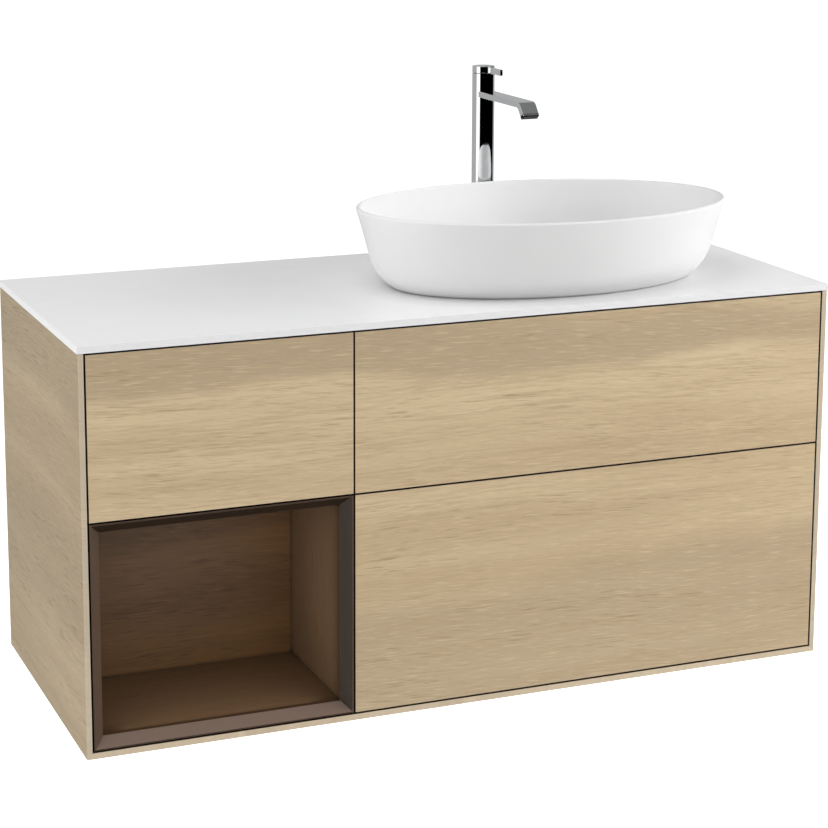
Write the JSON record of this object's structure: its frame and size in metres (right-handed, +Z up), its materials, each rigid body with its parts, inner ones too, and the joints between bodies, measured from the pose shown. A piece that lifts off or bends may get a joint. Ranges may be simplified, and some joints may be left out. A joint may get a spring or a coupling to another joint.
{
  "type": "washbasin unit with vessel sink",
  "caption": "Wall-hung oak washbasin cabinet with a thin white top, an oval vessel sink, a tall single-lever tap, handleless drawers and an open dark niche.",
  "frame": {"origin": "bottom centre of the cabinet's rear plane, which lies on the wall", "axes": "+X to the right seen from the front, -Y out of the wall towards the user, +Z up"},
  "size_m": [1.2, 0.531, 0.9165],
  "materials": {
    "oak_veneer": "satin",
    "dark_oak": "matte",
    "carcass_board": "matte",
    "drawer_board": "matte",
    "guard_plastic": "matte",
    "top_plate": "satin",
    "basin_ceramic": "satin",
    "zinc_steel": "satin",
    "chrome": "polished",
    "brass": "satin",
    "white_plastic": "gloss",
    "dark_plastic": "matte",
    "seal_rubber": "matte"
  },
  "bodies": {
    "cabinet": {"back_panel": "carcass_board", "basin": "basin_ceramic", "basin_seal": "seal_rubber", "bottom_panel": "oak_veneer", "cabinet_runner_rails": "zinc_steel", "cartridge_nut": "brass", "divider_panel": "carcass_board", "front_rail": "carcass_board", "hanging_brackets": "zinc_steel", "hanging_rail": "carcass_board", "niche_back": "dark_oak", "niche_bottom": "dark_oak", "niche_left": "dark_oak", "niche_right": "dark_oak", "niche_top": "dark_oak", "outlet_pipe": "white_plastic", "side_panel_left": "oak_veneer", "side_panel_right": "oak_veneer", "tailpipe": "white_plastic", "tap_aerator": "dark_plastic", "tap_base_seal": "seal_rubber", "tap_body": "chrome", "tap_cartridge": "dark_plastic", "tap_nut": "brass", "tap_shank": "brass", "tap_spout": "chrome", "trap_body": "white_plastic", "trap_cup": "white_plastic", "trap_union_nuts": "white_plastic", "wall_plates": "zinc_steel", "wall_rosette": "chrome", "waste_body": "chrome", "waste_cover": "chrome", "waste_nut": "brass", "worktop_plate": "top_plate"},
    "upper_left_drawer": {"upper_left_back": "drawer_board", "upper_left_bottom": "drawer_board", "upper_left_drawer_rails": "zinc_steel", "upper_left_front": "oak_veneer", "upper_left_side_left": "drawer_board", "upper_left_side_right": "drawer_board"},
    "upper_left_runner": {"upper_left_middle_rails": "zinc_steel"},
    "upper_right_drawer": {"upper_right_back": "drawer_board", "upper_right_bottom": "drawer_board", "upper_right_drawer_rails": "zinc_steel", "upper_right_front": "oak_veneer", "upper_right_side_left": "drawer_board", "upper_right_side_right": "drawer_board", "upper_right_siphon_guard": "guard_plastic"},
    "upper_right_runner": {"upper_right_middle_rails": "zinc_steel"},
    "lower_right_drawer": {"lower_right_back": "drawer_board", "lower_right_bottom": "drawer_board", "lower_right_drawer_rails": "zinc_steel", "lower_right_front": "oak_veneer", "lower_right_side_left": "drawer_board", "lower_right_side_right": "drawer_board"},
    "lower_right_runner": {"lower_right_middle_rails": "zinc_steel"},
    "spindle": {"cartridge_spindle": "dark_plastic"},
    "lever": {"lever_cap": "chrome", "lever_blade": "chrome"}
  },
  "joints": [
    {"name": "upper_left_slide", "type": "slide", "parent": "cabinet", "child": "upper_left_drawer", "axis": [0, -1, 0], "range_m": [-0.0025, 0.4]},
    {"name": "upper_left_runner_slide", "type": "slide", "parent": "cabinet", "child": "upper_left_runner", "axis": [0, -1, 0], "range_m": [-0.0013, 0.2005]},
    {"name": "upper_right_slide", "type": "slide", "parent": "cabinet", "child": "upper_right_drawer", "axis": [0, -1, 0], "range_m": [-0.0025, 0.4]},
    {"name": "upper_right_runner_slide", "type": "slide", "parent": "cabinet", "child": "upper_right_runner", "axis": [0, -1, 0], "range_m": [-0.0013, 0.2005]},
    {"name": "lower_right_slide", "type": "slide", "parent": "cabinet", "child": "lower_right_drawer", "axis": [0, -1, 0], "range_m": [-0.0025, 0.4]},
    {"name": "lower_right_runner_slide", "type": "slide", "parent": "cabinet", "child": "lower_right_runner", "axis": [0, -1, 0], "range_m": [-0.0013, 0.2005]},
    {"name": "lever_turn", "type": "hinge", "parent": "cabinet", "child": "spindle", "pos_m": [0.2035, -0.063, 0.905], "axis": [0, 0, 1], "range_deg": [-45, 45]},
    {"name": "lever_lift", "type": "hinge", "parent": "spindle", "child": "lever", "pos_m": [0.2035, -0.0445, 0.9055], "axis": [-1, 0, 0], "range_deg": [0, 18]}
  ],
  "couplings": [
    {"joint": "upper_left_runner_slide", "follows": "upper_left_slide", "ratio": 0.5},
    {"joint": "upper_right_runner_slide", "follows": "upper_right_slide", "ratio": 0.5},
    {"joint": "lower_right_runner_slide", "follows": "lower_right_slide", "ratio": 0.5}
  ]
}
